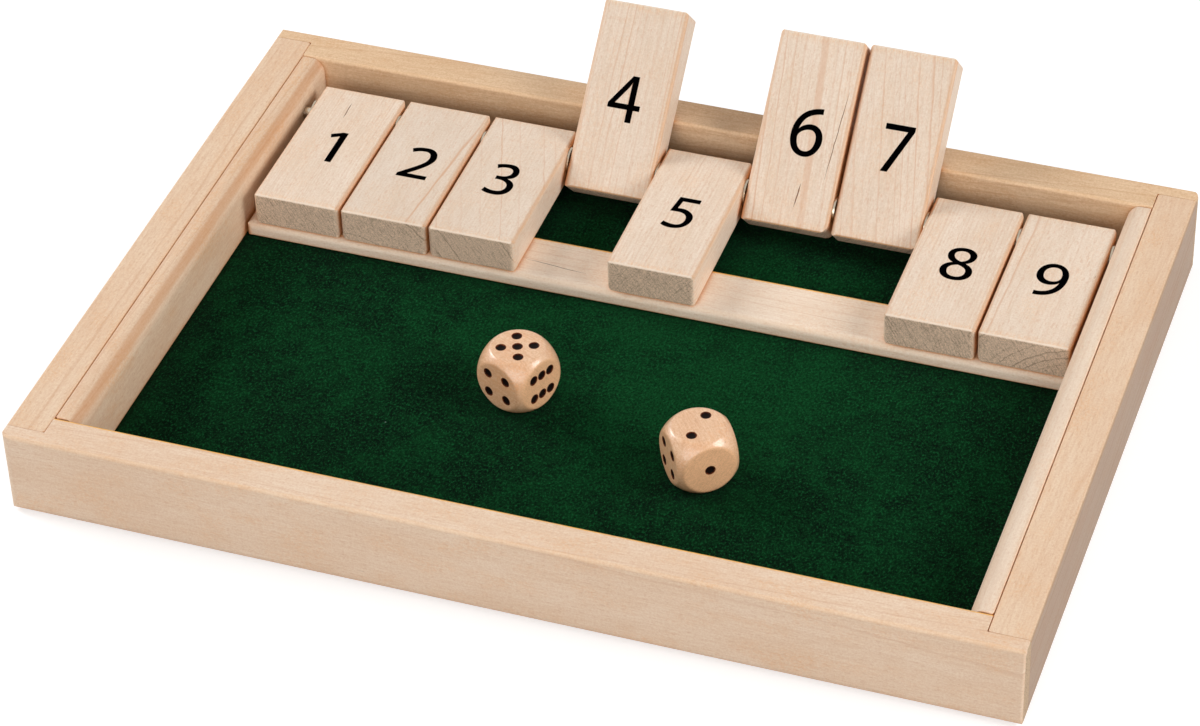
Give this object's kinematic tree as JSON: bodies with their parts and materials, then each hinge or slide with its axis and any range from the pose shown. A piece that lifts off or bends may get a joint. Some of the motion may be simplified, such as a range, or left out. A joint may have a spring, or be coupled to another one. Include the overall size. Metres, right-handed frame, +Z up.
{
  "type": "shut the box game",
  "caption": "Felt-lined wooden dice tray with a row of numbered tiles hinged on one rod, and a pair of wooden dice.",
  "frame": {"origin": "centre of the tray's underside", "axes": "+X along the row from tile 1 to tile 9, +Y from the player's edge to the tiles, +Z up"},
  "size_m": [0.29, 0.215, 0.0561],
  "materials": {
    "rail_wood": "pale maple, sanded and lightly sealed",
    "tile_wood": "pale maple, sanded, numbers printed in black",
    "dice_wood": "beech, lacquered, pips painted dark brown",
    "plywood": "birch plywood, unfinished",
    "felt": "deep green flocked felt",
    "steel": "bright plated steel"
  },
  "bodies": {
    "tray": {"front_rail": "rail_wood", "rear_rail": "rail_wood", "left_rail": "rail_wood", "right_rail": "rail_wood", "base_panel": "plywood", "felt_mat": "felt", "left_strip": "rail_wood", "right_strip": "rail_wood", "ledge": "rail_wood", "hinge_rod": "steel", "washer_0": "steel", "washer_1": "steel", "washer_2": "steel", "washer_3": "steel", "washer_4": "steel", "washer_5": "steel", "washer_6": "steel", "washer_7": "steel", "washer_8": "steel", "washer_9": "steel"},
    "tile_1": {"tile_1": "tile_wood"},
    "tile_2": {"tile_2": "tile_wood"},
    "tile_3": {"tile_3": "tile_wood"},
    "tile_4": {"tile_4": "tile_wood"},
    "tile_5": {"tile_5": "tile_wood"},
    "tile_6": {"tile_6": "tile_wood"},
    "tile_7": {"tile_7": "tile_wood"},
    "tile_8": {"tile_8": "tile_wood"},
    "tile_9": {"tile_9": "tile_wood"},
    "die_left": {"die_left": "dice_wood"},
    "die_right": {"die_right": "dice_wood"}
  },
  "joints": [
    {"name": "tile_1_hinge", "type": "hinge", "parent": "tray", "child": "tile_1", "pos_m": [0, 0.0737, 0.01827], "axis": [-1, 0, 0], "range_deg": [0, 136.3]},
    {"name": "tile_2_hinge", "type": "hinge", "parent": "tray", "child": "tile_2", "pos_m": [0, 0.0737, 0.01827], "axis": [-1, 0, 0], "range_deg": [0, 136.3]},
    {"name": "tile_3_hinge", "type": "hinge", "parent": "tray", "child": "tile_3", "pos_m": [0, 0.0737, 0.01827], "axis": [-1, 0, 0], "range_deg": [0, 136.3]},
    {"name": "tile_4_hinge", "type": "hinge", "parent": "tray", "child": "tile_4", "pos_m": [0, 0.0737, 0.01827], "axis": [-1, 0, 0], "range_deg": [-136.3, 0]},
    {"name": "tile_5_hinge", "type": "hinge", "parent": "tray", "child": "tile_5", "pos_m": [0, 0.0737, 0.01827], "axis": [-1, 0, 0], "range_deg": [0, 136.3]},
    {"name": "tile_6_hinge", "type": "hinge", "parent": "tray", "child": "tile_6", "pos_m": [0, 0.0737, 0.01827], "axis": [-1, 0, 0], "range_deg": [-136.3, 0]},
    {"name": "tile_7_hinge", "type": "hinge", "parent": "tray", "child": "tile_7", "pos_m": [0, 0.0737, 0.01827], "axis": [-1, 0, 0], "range_deg": [-136.3, 0]},
    {"name": "tile_8_hinge", "type": "hinge", "parent": "tray", "child": "tile_8", "pos_m": [0, 0.0737, 0.01827], "axis": [-1, 0, 0], "range_deg": [0, 136.3]},
    {"name": "tile_9_hinge", "type": "hinge", "parent": "tray", "child": "tile_9", "pos_m": [0, 0.0737, 0.01827], "axis": [-1, 0, 0], "range_deg": [0, 136.3]},
    {"name": "die_left_lift", "type": "slide", "parent": "tray", "child": "die_left", "axis": [0, 0, 1], "range_m": [0, 0.06]},
    {"name": "die_right_lift", "type": "slide", "parent": "tray", "child": "die_right", "axis": [0, 0, 1], "range_m": [0, 0.06]}
  ]
}
